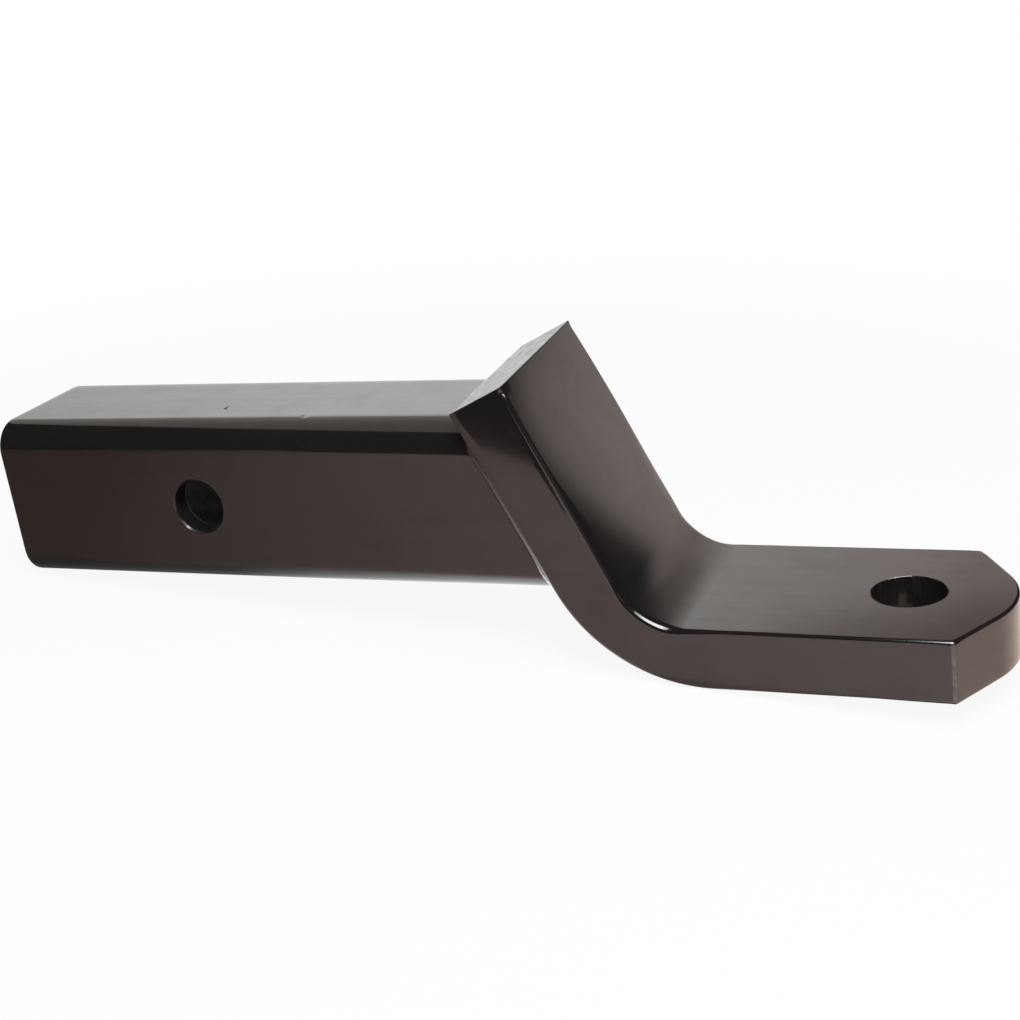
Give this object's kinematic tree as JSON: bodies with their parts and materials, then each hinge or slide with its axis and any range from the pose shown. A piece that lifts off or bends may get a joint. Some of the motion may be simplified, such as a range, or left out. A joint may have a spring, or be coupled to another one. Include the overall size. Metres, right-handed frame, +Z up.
{
  "type": "hitch drawbar",
  "caption": "Square tube shank with a cross pin hole, welded to a bent flat-bar tongue that steps down to a level deck with a hole for a hitch ball.",
  "frame": {"origin": "centre of the hitch pin hole, on the axis of the shank", "axes": "+X along the shank towards the ball end, +Y across it along the pin, +Z up"},
  "size_m": [0.3038, 0.0604, 0.0887],
  "materials": {
    "black_coat": "gloss"
  },
  "bodies": {
    "root": {"shank_tube": "black_coat", "tongue_bar": "black_coat", "weld_bead": "black_coat"}
  },
  "joints": []
}
